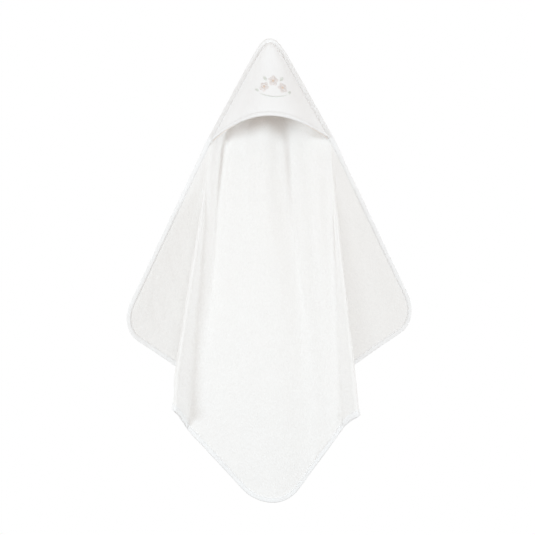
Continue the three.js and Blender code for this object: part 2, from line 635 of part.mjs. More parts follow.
function addEmbroidery() {
  const behind = -HOOD_CLOTH / 2 - LAYER_GAP * 2;
  const face = HOOD_CLOTH / 2 + LAYER_GAP;
  const onFace = (name, look, patch) => slab(name, look, patch, face, face + EMBROIDERY_HEIGHT);
  const second = face + EMBROIDERY_HEIGHT + LAYER_GAP;
  const backing = hoodPatch([0, 0], oval(...BACKING_OVAL), BACKING_RINGS, BACKING_STEPS);
  assembly.add(
    slab("embroidery_backing", backingLook, backing, behind - BACKING, behind),
    onFace("embroidery_stem", leafLook, stemSurface(STEM)),
  );
  for (const { name, at, radius, spin } of BLOSSOMS) {
    const petals = hoodPatch(at, blossom(radius, spin), 1, PETALS * PETAL_STEPS);
    const centre = hoodPatch(at, oval(radius * 0.28, radius * 0.26), 1, CENTRE_STEPS);
    assembly.add(
      onFace(`embroidery_blossom_${name}`, petalLook, petals),
      slab(`embroidery_centre_${name}`, centreLook, centre, second, second + THREAD_HEIGHT),
    );
  }
  for (const { name, at, length, lean } of LEAVES) {
    const patch = hoodPatch(at, leaf(length, length * LEAF_WIDTH, lean), 1, LEAF_STEPS);
    assembly.add(onFace(`embroidery_leaf_${name}`, leafLook, patch));
  }
}

addTowel();
addHood();
addEmbroidery();
export default assembly;
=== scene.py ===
import math

import bmesh
import bpy
import numpy as np
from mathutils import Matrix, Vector, noise


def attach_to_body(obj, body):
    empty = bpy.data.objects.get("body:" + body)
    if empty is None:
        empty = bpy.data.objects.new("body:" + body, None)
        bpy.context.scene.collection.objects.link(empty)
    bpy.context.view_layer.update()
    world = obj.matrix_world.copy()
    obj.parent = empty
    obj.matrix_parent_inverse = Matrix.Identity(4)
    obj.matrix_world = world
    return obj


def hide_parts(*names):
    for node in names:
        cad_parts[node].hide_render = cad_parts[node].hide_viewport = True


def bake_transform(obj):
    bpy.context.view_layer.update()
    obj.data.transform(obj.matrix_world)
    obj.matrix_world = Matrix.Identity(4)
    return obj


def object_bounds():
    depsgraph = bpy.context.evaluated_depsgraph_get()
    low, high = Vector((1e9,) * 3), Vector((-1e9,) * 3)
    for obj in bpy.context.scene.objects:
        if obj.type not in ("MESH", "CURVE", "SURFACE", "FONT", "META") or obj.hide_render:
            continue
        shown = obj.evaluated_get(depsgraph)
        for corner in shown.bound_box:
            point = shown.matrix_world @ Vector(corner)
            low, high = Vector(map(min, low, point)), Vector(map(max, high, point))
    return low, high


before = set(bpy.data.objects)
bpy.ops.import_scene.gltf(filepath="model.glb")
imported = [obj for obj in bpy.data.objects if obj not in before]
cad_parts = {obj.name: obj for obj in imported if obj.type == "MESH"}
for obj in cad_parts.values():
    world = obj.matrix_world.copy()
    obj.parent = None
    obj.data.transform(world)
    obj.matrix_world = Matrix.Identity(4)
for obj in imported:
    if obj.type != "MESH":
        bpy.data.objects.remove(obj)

CAD_BOX = [list(corner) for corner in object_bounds()]
MM = 0.001

# ---- The towel's dimensions, in millimetres
SIDE = 750.0
PEAK_CORNER_R = 75.0
WING_CORNER_R = 68.0
FOOT_CORNER_R = 98.0
HOOD_LEG = 288.0
TERRY = 3.0
LINING = 2.0
HOOD_CLOTH = 0.9
GAP = 0.4
TAPE_WIDTH = 11.0
FACE_TAPE_WIDTH = 9.0
TAPE = 0.9
STITCH_INSET = 2.0
STITCH_PITCH = 3.3
STITCH_LENGTH = 2.7
FACE_DROP = 200.5
FACE_CURVE = 2.2
FACE_FORWARD = 70.0
PEAK_FORWARD = 0.6
HOOD_ROUND = 1.25
FOLD_R = 5.0
DEEP_PLEAT = 190.0
PLEAT_BEGINS = 0.2
DRAW_BEGINS = 0.88
WING_EASES = (0.45, 0.95)
CENTRE_TAKE_UP = 0.932
LEAN = 0.0087
MOTIF_U = 135.0
MOTIF_V = 5.0

# A side's front corner hangs out and drop from the sharp peak. start, outer, inner and hem are its pleat's
# section, outwards and back, at a depth of 1. Take-ups are the shares of their length that lines keep.
LEFT = {
    "sign": -1, "out": 137.0, "drop": 252.0, "face_bend": 0.1, "hood_flat": 1.35,
    "draw": 0.08, "wing_take_up": 0.99, "hem_take_up": 0.985, "eased": 0.3,
    "start": (0.08, 0.02), "outer": (0.152, -0.035), "inner": (0.04, 0.1), "hem": (0.486, 0.22),
}
RIGHT = {
    "sign": 1, "out": 139.0, "drop": 247.0, "face_bend": 0.25, "hood_flat": 0.8,
    "draw": 0.015, "wing_take_up": 0.965, "hem_take_up": 0.98, "eased": 0.14,
    "start": (0.045, 0.004), "outer": (0.106, -0.03), "inner": (0.005, 0.1), "hem": (0.5, 0.35),
}

DIAGONAL = SIDE * math.sqrt(2)
HOOD_DEPTH = HOOD_LEG / math.sqrt(2)
PEAK_CUT = PEAK_CORNER_R * (math.sqrt(2) - 1)
TAPE_SHIFT = TAPE_WIDTH / math.sqrt(2)
INNER_U = HOOD_DEPTH + TAPE_SHIFT
INNER_V = HOOD_DEPTH - TAPE_SHIFT
SLOT = TERRY / 2 + GAP
OVER_TAPE = SLOT + TAPE
PANEL_REACH = TAPE_WIDTH - TAPE - GAP
HOOD_STEP = 6.6
LINING_AIR = 1.8
LINING_STEP = HOOD_CLOTH / 2 + LINING_AIR + LINING / 2
HOOD_TUCK = 2.5
HOOD_INSET = TAPE_WIDTH - HOOD_TUCK
STRAIGHT_HEM = SIDE - HOOD_LEG - WING_CORNER_R
SEAM_LIFT = HOOD_STEP + HOOD_CLOTH / 2 + GAP - OVER_TAPE
FRONT = np.array([0.0, -1.0, 0.0])


# ---- Small helpers
def clamp01(t):
    return min(1.0, max(0.0, t))


def smooth(a, b, t):
    s = clamp01((t - a) / (b - a))
    return s * s * (3 - 2 * s)


def mix(a, b, t):
    return a + (b - a) * t


def bump(t, centre, width):
    return math.exp(-(((t - centre) / width) ** 2))


def swell(t, start, end, power):
    """Grows and shrinks again as t runs from 0 to 1. start and end say where on a half wave it does."""
    return math.sin(math.pi * clamp01(mix(start, end, t))) ** power


def solve(low, high, too_far, steps=26):
    """Halves the range again and again to find where too_far first holds."""
    for _ in range(steps):
        t = (low + high) / 2
        if too_far(t):
            high = t
        else:
            low = t
    return (low + high) / 2


def unit(v):
    return v / max(np.linalg.norm(v), 1e-12)


def wobble(x, y, z=0.0):
    """Smooth noise from about -1 to 1; the same every run."""
    return noise.noise(Vector((x, y, z)))


def work_out(side):
    """Adds to a side where the tape's inner edge hangs, and how the middle's edge runs on below it."""
    tilt = math.atan2(side["out"], side["drop"])
    side["inner_out"] = side["out"] - TAPE_WIDTH * math.cos(tilt)
    side["inner_drop"] = side["drop"] + TAPE_WIDTH * math.sin(tilt)
    side["inner_peak"] = TAPE_WIDTH / math.sin(tilt)
    direction = unit(np.array([*side["start"], -1.0]))
    down = CENTRE_TAKE_UP / -direction[2]
    side["spread"] = direction[0] * down
    side["recede"] = direction[1] * down


work_out(LEFT)
work_out(RIGHT)


def side_of(v):
    return LEFT if v < 0 else RIGHT


def raised(p):
    """Drapes are worked out from the sharp corner, and the origin is the rounded peak above it."""
    return p + np.array([0, 0, PEAK_CUT])


# ---- The towel's outline
def inside_by(u, v):
    """How far inside the outline a flat place is. u runs down the towel's diagonal, and v across it."""
    a = (u + v) / math.sqrt(2) - SIDE / 2
    b = (u - v) / math.sqrt(2) - SIDE / 2
    r = WING_CORNER_R if a * b < 0 else PEAK_CORNER_R if a < 0 else FOOT_CORNER_R
    p, q = abs(a) - SIDE / 2 + r, abs(b) - SIDE / 2 + r
    return r - math.hypot(max(p, 0), max(q, 0)) - min(max(p, q), 0)


def outwards(u, v):
    """The flat direction straight out of the towel."""
    d = 0.01
    gu = inside_by(u - d, v) - inside_by(u + d, v)
    gv = inside_by(u, v - d) - inside_by(u, v + d)
    size = math.hypot(gu, gv) or 1.0
    return gu / size, gv / size


def top_of(v, inset):
    """The highest flat place at v that is an inset inside the outline."""
    return solve(0, DIAGONAL / 2, lambda u: inside_by(u, v) > inset)


def bottom_of(v, inset):
    """The lowest flat place at v that is an inset inside the outline."""
    return solve(DIAGONAL / 2, DIAGONAL, lambda u: inside_by(u, v) < inset)


HALVES = {}


def hood_half(u):
    """Half the hood's flat width at a depth below the sharp corner."""
    if u not in HALVES:
        HALVES[u] = solve(0, u, lambda v: inside_by(u, v) < HOOD_INSET)
    return HALVES[u]


# ---- The middle of the towel
# Soft vertical folds: where each stands across the middle (-1 to 1) beside the hood and near the hem,
# how far it goes back, and the depths between which it fades out. Back is negative where it comes forward.
PAST_HEM = (DIAGONAL, DIAGONAL * 2)
FOLDS = [
    {"start": 0.25, "end": 0.56, "width": 0.18, "back": 17, "fades": PAST_HEM},
    {"start": -0.82, "end": -0.92, "width": 0.11, "back": 16, "fades": (480, 760)},
    {"start": -0.1, "end": 0.0, "width": 0.22, "back": -10, "fades": PAST_HEM},
    {"start": 0.68, "end": 0.68, "width": 0.22, "back": -8, "fades": PAST_HEM},
]
FOLDS_LOW = 800.0
LOW_FOLDS = 0.5  # the share of the folds' depth that is left near the hem
HOLLOW = 10.0
HOLLOW_END = 480.0
SEAM_STIFFENS = 45.0
PLEAT_STIFFENS = 0.22


def middle_folds(u, v, w):
    low = smooth(HOOD_DEPTH, FOLDS_LOW, u)
    waves = HOLLOW * (1 - w * w) * (1 - smooth(HOOD_DEPTH, HOLLOW_END, u))
    for fold in FOLDS:
        across = bump(w, mix(fold["start"], fold["end"], low), fold["width"])
        waves += fold["back"] * across * (1 - smooth(*fold["fades"], u))
    from_seam = smooth(TAPE_WIDTH, TAPE_WIDTH + SEAM_STIFFENS, inside_by(u, v)) if u < DIAGONAL / 2 else 1
    held = smooth(0, PLEAT_STIFFENS, 1 - abs(w)) * from_seam
    return waves * held * min(1, u / HOOD_DEPTH) * mix(1, LOW_FOLDS, low)


def middle(u, v):
    s = side_of(v)
    below = max(0, u - INNER_U)
    width = max(1, min(u, INNER_U) - TAPE_SHIFT * 2)
    w = v / width
    edge = s["inner_peak"] + (s["inner_drop"] - s["inner_peak"]) * width / INNER_V - width - TAPE_SHIFT * 2
    x = (v / INNER_V) * (s["inner_out"] + s["spread"] * below) + LEAN * below * (1 - w * w)
    y = middle_folds(u, v, w) + s["recede"] * below * w * w
    return np.array([x, y, -(u + w * w * (edge - (1 - CENTRE_TAKE_UP) * below))])


# ---- The pleats
def touch(circle, angle):
    x, y, r, turn = circle
    return np.array([x + turn * r * math.sin(angle), y - turn * r * math.cos(angle)])


def wrapped(circles):
    """The line that wraps around circles (x, y, radius, turn), as straight and curved pieces."""
    angles = []
    for a, b in zip(circles, circles[1:]):
        dx, dy = b[0] - a[0], b[1] - a[1]
        angles.append(math.atan2(dy, dx) - math.asin((b[3] * b[2] - a[3] * a[2]) / math.hypot(dx, dy)))
    pieces = []
    for i, angle in enumerate(angles):
        start, end = touch(circles[i], angle), touch(circles[i + 1], angle)
        pieces.append((np.linalg.norm(end - start), lambda t, p=start, q=end: mix(p, q, t)))
        if i + 1 < len(angles):
            c = circles[i + 1]
            bend = angles[i + 1] - angle
            if bend * c[3] < 0:
                bend += 2 * math.pi * c[3]
            pieces.append((c[2] * abs(bend), lambda t, c=c, a=angle, b=bend: touch(c, a + b * t)))
    return pieces


LAST_COLUMN = 5  # a pleat's section has five pieces: straight, round, straight, round, straight
SECTIONS = {}


def pleat_section(s, depth):
    """The pleat's cross-section at a depth below the front corner: its pieces and its whole length."""
    key = (s["sign"], round(depth, 4))
    if key not in SECTIONS:
        places = [[c * depth for c in s[name]] for name in ("start", "outer", "inner", "hem")]
        start, outer, inner, hem = places
        forward_fold = (outer[0] - FOLD_R, outer[1] + FOLD_R, FOLD_R, 1)
        pieces = wrapped([(*start, 0, 0), forward_fold, (*inner, FOLD_R, -1), (*hem, 0, 0)])
        SECTIONS[key] = (pieces, sum(p[0] for p in pieces))
    return SECTIONS[key]


def fan(s, reach, column, end=SIDE):
    """A point beside a front corner: its flat place and where it hangs. end is the reach of the hem."""
    depth = max(reach, DEEP_PLEAT)
    pieces, whole = pleat_section(s, depth)
    piece = min(LAST_COLUMN - 1, int(column))
    part = column - piece
    t = (sum(p[0] for p in pieces[:piece]) + pieces[piece][0] * part) / whole
    folded = pieces[piece][1](part) / depth
    straight = [mix(s["start"][i], s["hem"][i], t) for i in range(2)]
    formed = smooth(PLEAT_BEGINS, 1, reach / DEEP_PLEAT)
    out, back = (mix(straight[i], folded[i], formed) for i in range(2))
    on_fold = smooth(0, 1, column) * (1 - smooth(2, 3, column))
    out *= 1 - s["draw"] * on_fold * smooth(DRAW_BEGINS, 1, reach / end)
    wing = mix(s["wing_take_up"], s["hem_take_up"], smooth(*WING_EASES, t))
    take_up = mix(CENTRE_TAKE_UP, wing, smooth(0, s["eased"], t))
    along_line = unit(np.array([s["sign"] * out, back, -1.0]))
    turn = t * math.pi / 4
    u = INNER_U + reach * math.cos(turn)
    v = s["sign"] * (INNER_V + reach * math.sin(turn))
    corner = np.array([s["sign"] * s["inner_out"], 0, -s["inner_drop"]])
    return u, v, corner + along_line * reach * take_up


# ---- The towel as a grid
ROWS_UP = 46
DEPTH_ROWS = 118
MIDDLE_COLUMNS = 84
CROWDING = 1.08  # above 1, the rows stand closer together near the hood
DEPTHS = [((i + 1) / DEPTH_ROWS) ** CROWDING for i in range(DEPTH_ROWS)]
FAN_STEPS = (8, 10, 11, 9)
LAST_STEPS = 34
CORNER_STEPS = 16
TOUCHING = 1e-6


def linspace(a, b, count):
    return [a + (b - a) * i / (count - 1) for i in range(count)]


def middle_column(v):
    top = top_of(v, TAPE_WIDTH) if abs(v) < INNER_V else INNER_U
    bottom = bottom_of(v, TAPE_WIDTH)
    corner = max(top, INNER_U)
    rows = [mix(top, corner, i / ROWS_UP) for i in range(ROWS_UP)] + [corner]
    rows += [mix(corner, bottom, d) for d in DEPTHS]
    return [(u, v, middle(u, v)) for u in rows]


def fan_column(s, column):
    def too_far(reach):
        u, v, _ = fan(s, reach, column)
        return inside_by(u, v) < TAPE_WIDTH - TOUCHING

    end = STRAIGHT_HEM if column == LAST_COLUMN else solve(STRAIGHT_HEM * 0.9, SIDE, too_far)
    return [fan(s, reach, column, end) for reach in [0.0] * (ROWS_UP + 1) + [d * end for d in DEPTHS]]


def fan_stops(s):
    """Where the columns of a fan stand. The last ones follow the wing's round corner."""
    pieces, whole = pleat_section(s, SIDE / 2)
    last = pieces[-1][0] / whole
    r = WING_CORNER_R - TAPE_WIDTH
    corner = []
    for a in linspace(math.pi / 2, 0, CORNER_STEPS):
        turn = math.atan2(r * (1 - math.cos(a)), STRAIGHT_HEM + r * math.sin(a))
        corner.append(LAST_COLUMN - turn / (math.pi / 4) / last)
    stops = []
    for piece, count in enumerate(FAN_STEPS):
        stops += linspace(piece, piece + 1, count)[:-1]
    return stops + linspace(len(FAN_STEPS), corner[0], LAST_STEPS)[:-1] + corner


def towel_grid():
    columns = [fan_column(LEFT, stop) for stop in reversed(fan_stops(LEFT)) if stop > 0]
    for v in linspace(-INNER_V, INNER_V, MIDDLE_COLUMNS + 1):
        columns.append(middle_column(v))
    columns += [fan_column(RIGHT, stop) for stop in fan_stops(RIGHT) if stop > 0]
    return columns


# ---- The hood
def hood(u, across):
    """Where the hood's front hangs. across runs from -1 at its left seam to 1 at its right one."""
    half = hood_half(u)
    s = side_of(across)
    edge = middle(u, s["sign"] * half)
    w = abs(across)
    rounded = math.sin(HOOD_ROUND * w) / math.sin(HOOD_ROUND)
    bulge = (math.cos(HOOD_ROUND * w) - math.cos(HOOD_ROUND)) / (1 - math.cos(HOOD_ROUND))
    middle_drop = mix(u, FACE_DROP * u / HOOD_DEPTH, smooth(PEAK_CUT, HOOD_DEPTH, u))
    fall = mix(max(rounded, 0.0) ** FACE_CURVE, smooth(0, 1, rounded), s["face_bend"])
    drop = mix(middle_drop, -edge[2], fall)
    forward = FACE_FORWARD * mix(PEAK_FORWARD, 1, smooth(0, HOOD_DEPTH, u))
    reach = forward * max(bulge, 0.0) ** s["hood_flat"]
    return np.array([edge[0] * rounded, -HOOD_STEP - reach * half / HOOD_DEPTH, -drop])


def hood_point(right, up):
    """The hood's front at a flat place, measured from the middle of the motif."""
    u = MOTIF_U - up
    return hood(u, (MOTIF_V + right) / hood_half(u))


# ---- Sheets of cloth
class Surface:
    """One sheet's mid surface: points, flat places, faces that look forward, normals and its rim."""

    def __init__(self, columns):
        self.index, self.points, self.flat, seen = [], [], [], {}
        for column in columns:
            row = []
            for u, v, p in column:
                key = (round(u, 3), round(v, 3))
                if key not in seen:
                    seen[key] = len(self.points)
                    self.points.append(raised(p))
                    self.flat.append((u, v))
                row.append(seen[key])
            self.index.append(row)
        self.points = np.array(self.points)
        self.flat = np.array(self.flat)
        self.faces = []
        for left, right in zip(self.index, self.index[1:]):
            for j in range(len(left) - 1):
                face = []
                for i in (left[j], left[j + 1], right[j + 1], right[j]):
                    if i not in face:
                        face.append(i)
                if len(face) > 2:
                    self.faces.append(face)
        self.find_normals()
        if self.normals[:, 1].mean() > 0:
            self.faces = [face[::-1] for face in self.faces]
            self.find_normals()
        self.rim = self.find_rim()

    def find_rim(self):
        edges = set()
        for face in self.faces:
            edges.update(zip(face, face[1:] + face[:1]))
        after = {a: b for a, b in edges if (b, a) not in edges}
        loop = [min(after)]
        while after[loop[-1]] != loop[0]:
            loop.append(after[loop[-1]])
        return loop

    def find_normals(self):
        quads = np.array([face if len(face) == 4 else face + face[-1:] for face in self.faces])
        p = self.points[quads]
        area = np.cross(p[:, 2] - p[:, 0], p[:, 3] - p[:, 1])
        self.normals = np.zeros_like(self.points)
        for k in range(4):
            np.add.at(self.normals, quads[:, k], area)
        self.normals /= np.maximum(np.linalg.norm(self.normals, axis=1)[:, None], 1e-12)

    def flat_area(self):
        """The area of the cloth laid flat, in square metres, from its rim's flat outline."""
        u, v = self.flat[self.rim].T
        return abs(np.dot(u, np.roll(v, -1)) - np.dot(v, np.roll(u, -1))) / 2 * MM * MM

    def relax(self, rounds):
        """Softens creases: every point but the rim's moves towards the mean of its neighbours."""
        a, b = [], []
        for face in self.faces:
            a += face
            b += face[1:] + face[:1]
        a, b = np.array(a + b), np.array(b + a)
        count = np.bincount(a, minlength=len(self.points))[:, None]
        free = np.ones(len(self.points), bool)
        free[self.rim] = False
        for _ in range(rounds):
            total = np.zeros_like(self.points)
            np.add.at(total, a, self.points[b])
            moved = mix(self.points, total / count, 0.5)
            self.points[free] = moved[free]
        self.find_normals()

    def extended(self, stations, reach):
        """The same surface with a strip added around its rim, which runs on outwards."""
        wider = Surface.__new__(Surface)
        count = len(self.points)
        strip = [s.at(reach, 0) for s in stations]
        beyond = []
        for i in self.rim:
            u, v = self.flat[i]
            ou, ov = outwards(u, v)
            beyond.append((u + ou * reach, v + ov * reach))
        wider.points = np.vstack([self.points, strip])
        wider.flat = np.vstack([self.flat, beyond])
        wider.normals = np.vstack([self.normals, [s.n for s in stations]])
        for i, s in zip(self.rim, stations):
            wider.normals[i] = s.n
        size = len(self.rim)
        wider.faces = list(self.faces)
        for k, i in enumerate(self.rim):
            j = (k + 1) % size
            wider.faces.append([self.rim[j], i, count + k, count + j])
        wider.rim = [count + k for k in range(size)]
        return wider


SHARP_ANGLE = 62  # in degrees
PILE_SIZE = 15.0
PILE_FADES = 6.0


def add_to_scene(name, data):
    obj = bpy.data.objects.new(name, data)
    bpy.context.scene.collection.objects.link(obj)
    return obj


def new_object(name, points, faces, uvs, material, body):
    mesh = bpy.data.meshes.new(name)
    mesh.from_pydata((np.asarray(points) * MM).tolist(), [], faces)
    form = bmesh.new()
    form.from_mesh(mesh)
    bmesh.ops.recalc_face_normals(form, faces=form.faces)
    form.to_mesh(mesh)
    form.free()
    corners = np.zeros(len(mesh.loops), dtype=np.int32)
    mesh.loops.foreach_get("vertex_index", corners)
    layer = mesh.uv_layers.new(name="flat")
    layer.data.foreach_set("uv", (np.asarray(uvs)[corners] * MM).astype(np.float32).ravel())
    mesh.polygons.foreach_set("use_smooth", [True] * len(mesh.polygons))
    mesh.set_sharp_from_angle(angle=math.radians(SHARP_ANGLE))
    mesh.materials.append(material)
    obj = add_to_scene(name, mesh)
    attach(obj, body)
    return obj


def attach(obj, body):
    """A piece of the towel rides on it. A piece of the hood has its place baked into its points."""
    if body == "towel":
        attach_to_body(obj, "towel")
        return
    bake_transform(obj)


def slab(name, surface, back, front, material, body, pile=0.0):
    """A closed sheet between two heights over a surface. pile roughens its two faces."""
    count = len(surface.points)
    layers = []
    for height, seed in ((front, 3.0), (back, 9.0)):
        heights = np.full(count, height)
        if pile:
            grow = 1 if height == front else -1
            for i, (u, v) in enumerate(surface.flat):
                room = smooth(TAPE_WIDTH, TAPE_WIDTH + PILE_FADES, inside_by(u, v))
                heights[i] += grow * pile * room * wobble(u / PILE_SIZE, v / PILE_SIZE, seed)
        layers.append(surface.points + surface.normals * heights[:, None])
    faces = surface.faces + [[i + count for i in reversed(face)] for face in surface.faces]
    rim = surface.rim
    faces += [[b, a, a + count, b + count] for a, b in zip(rim, rim[1:] + rim[:1])]
    return new_object(name, np.vstack(layers), faces, np.vstack([surface.flat] * 2), material, body)


# ---- Stations, tape and stitches
FACING_EASES = (-5, 60)  # around the front corners, the tape turns from facing forward to its cloth's slope
LIFT_ENDS = (-6, 3)  # around the front corners, the tape comes down from the hood's cloth
LOWER_HEM = (0.0, 0.45)
LEAST_SQUARE = 0.4
TAPE_ROUND = 2.6
TAPE_SHOULDER = [(0.0, 1.25), (0.8, 0.45), (2.2, 0.1)]  # how far the face is sunk near its inner edge
STITCH_SIDES = 6
STITCH_RINGS = 5
STITCH_HALF_WIDTH = 0.42
STITCH_HALF_HEIGHT = 0.3
STITCH_ARCH = 0.28
STITCH_SUNK = 0.12
STITCH_SIDE = 0.35
STITCH_TIP = 0.35  # the share of a stitch's girth that is left at its ends


class Station:
    """A place on an edge: its point, the way the cloth faces, the way out of it, and its flat depth."""

    def __init__(self, p, n, out, u=0.0):
        self.p, self.n, self.out, self.u = p, n, out, u

    def at(self, out, height):
        return self.p + self.out * out + self.n * height


def hem_stations(surface):
    """Stations on the towel's rim. Below the front corners the tape runs on along the cloth's lines."""
    above = {row[-1]: row[-2] for row in surface.index}
    stations = []
    rim = surface.rim
    for k, i in enumerate(rim):
        u, v = surface.flat[i]
        p, n = surface.points[i], surface.normals[i]
        before, after = surface.points[rim[k - 1]], surface.points[rim[(k + 1) % len(rim)]]
        flat = 1 - smooth(INNER_U + FACING_EASES[0], INNER_U + FACING_EASES[1], u)
        facing = unit(mix(n, FRONT, flat))
        out = unit(np.cross(after - before, facing))
        if i in above:
            j = above[i]
            ou, ov = outwards(u, v)
            du, dv = u - surface.flat[j][0], v - surface.flat[j][1]
            square = (du * ou + dv * ov) / math.hypot(du, dv)
            lower_hem = 1 - smooth(*LOWER_HEM, abs(ov) - ou)
            if lower_hem > 0:
                ruled = unit(p - surface.points[j]) / max(square, LEAST_SQUARE)
                out = mix(out, ruled, lower_hem)
        stations.append(Station(p, facing, out, u))
    return stations


def seam_lift(station):
    """How much higher the hem's tape stands where it also covers the hood's cloth."""
    return SEAM_LIFT * (1 - smooth(INNER_U + LIFT_ENDS[0], INNER_U + LIFT_ENDS[1], station.u))


def tape_profile(width, bottom, slot_bottom, slot_top, top):
    """A tape folded over an edge, with a soft round outer edge and turned-in inner edges."""
    middle_height, half = (top + bottom) / 2, (top - bottom) / 2
    r = min(half, TAPE_ROUND)
    points = [(across, top - sunk) for across, sunk in TAPE_SHOULDER]
    points += [(width / 2, top), (width - r, top)]
    for a in linspace(math.pi / 2, -math.pi / 2, 9)[1:-1]:
        corner = top - r if a > 0 else bottom + r
        corner = middle_height if abs(a) < TOUCHING else corner
        points.append((width - r + r * math.cos(a), corner + r * math.sin(a)))
    points += [(width - r, bottom), (width / 2, bottom)]
    points += [(across, bottom + sunk) for across, sunk in reversed(TAPE_SHOULDER)]
    points += [(0, slot_bottom), (width - TAPE, slot_bottom)]
    return points + [(width - TAPE, slot_top), (0, slot_top)]


def tube_faces(rings, sides, base=0, closed=False, ends=True):
    """The faces of a tube whose points come ring by ring, and its flat ends."""
    faces = []
    for i in range(rings if closed else rings - 1):
        a, b = base + i * sides, base + (i + 1) % rings * sides
        faces += [[a + j, a + (j + 1) % sides, b + (j + 1) % sides, b + j] for j in range(sides)]
    if ends:
        faces.append([base + j for j in reversed(range(sides))])
        faces.append([base + (rings - 1) * sides + j for j in range(sides)])
    return faces


def sweep(name, stations, profiles, closed, material, body):
    """A solid with one profile at each station."""
    rings, uvs = [], []
    run = 0.0
    for k, (station, profile) in enumerate(zip(stations, profiles)):
        if k:
            run += np.linalg.norm(station.p - stations[k - 1].p)
        rings.append([station.at(out, height) for out, height in profile])
        around = 0.0
        for j, (out, height) in enumerate(profile):
            if j:
                around += math.hypot(out - profile[j - 1][0], height - profile[j - 1][1])
            uvs.append((run, around))
    faces = tube_faces(len(rings), len(rings[0]), closed=closed, ends=not closed)
    return new_object(name, np.array(rings).reshape(-1, 3), faces, uvs, material, body)


def stitches(name, stations, heights, inset, closed, side, material, body):
    """A row of separate stitches: small rounded lengths of thread, each pulled in at both ends."""
    spots = [s.at(inset, h) for s, h in zip(stations, heights)]
    if closed:
        spots.append(spots[0])
        stations = list(stations) + [stations[0]]
    spots = np.array(spots)
    lengths = np.concatenate([[0], np.cumsum(np.linalg.norm(np.diff(spots, axis=0), axis=1))])
    count = int(lengths[-1] / STITCH_PITCH)
    points, faces, uvs = [], [], []
    sides, rings = STITCH_SIDES, STITCH_RINGS
    for k in range(count):
        centre = (k + 0.5) * lengths[-1] / count
        ends = []
        for s in (centre - STITCH_LENGTH / 2, centre + STITCH_LENGTH / 2):
            i = min(len(lengths) - 2, max(0, int(np.searchsorted(lengths, s) - 1)))
            t = (s - lengths[i]) / max(lengths[i + 1] - lengths[i], 1e-9)
            facing = unit(mix(stations[i].n, stations[i + 1].n, clamp01(t)))
            ends.append((mix(spots[i], spots[i + 1], t), facing))
        (a, na), (b, nb) = ends
        axis = unit(b - a)
        up = unit(na + nb) * side
        across = np.cross(axis, up)
        faces += tube_faces(rings, sides, len(points))
        for i in range(rings):
            t = i / (rings - 1)
            girth = STITCH_TIP + (1 - STITCH_TIP) * swell(t, 0.12, 0.88, 0.6)
            middle_of_ring = mix(a, b, t) + up * (STITCH_ARCH * math.sin(math.pi * t) - STITCH_SUNK)
            for j in range(sides):
                angle = 2 * math.pi * j / sides
                sideways = across * math.cos(angle) * STITCH_HALF_WIDTH * girth
                points.append(middle_of_ring + sideways + up * math.sin(angle) * STITCH_HALF_HEIGHT * girth)
                uvs.append((k * STITCH_PITCH + t * STITCH_LENGTH, j * STITCH_SIDE))
    return new_object(name, points, faces, uvs, material, body)


# ---- Materials
SPECULAR = 0.2
WAVE_REPEAT = math.pi / 10  # how far apart a wave texture's bands are at scale 1


def set_inputs(node, **values):
    """Sets a node's inputs. An underscore stands for a blank in an input's name."""
    for name, value in values.items():
        node.inputs[name.replace("_", " ")].default_value = value


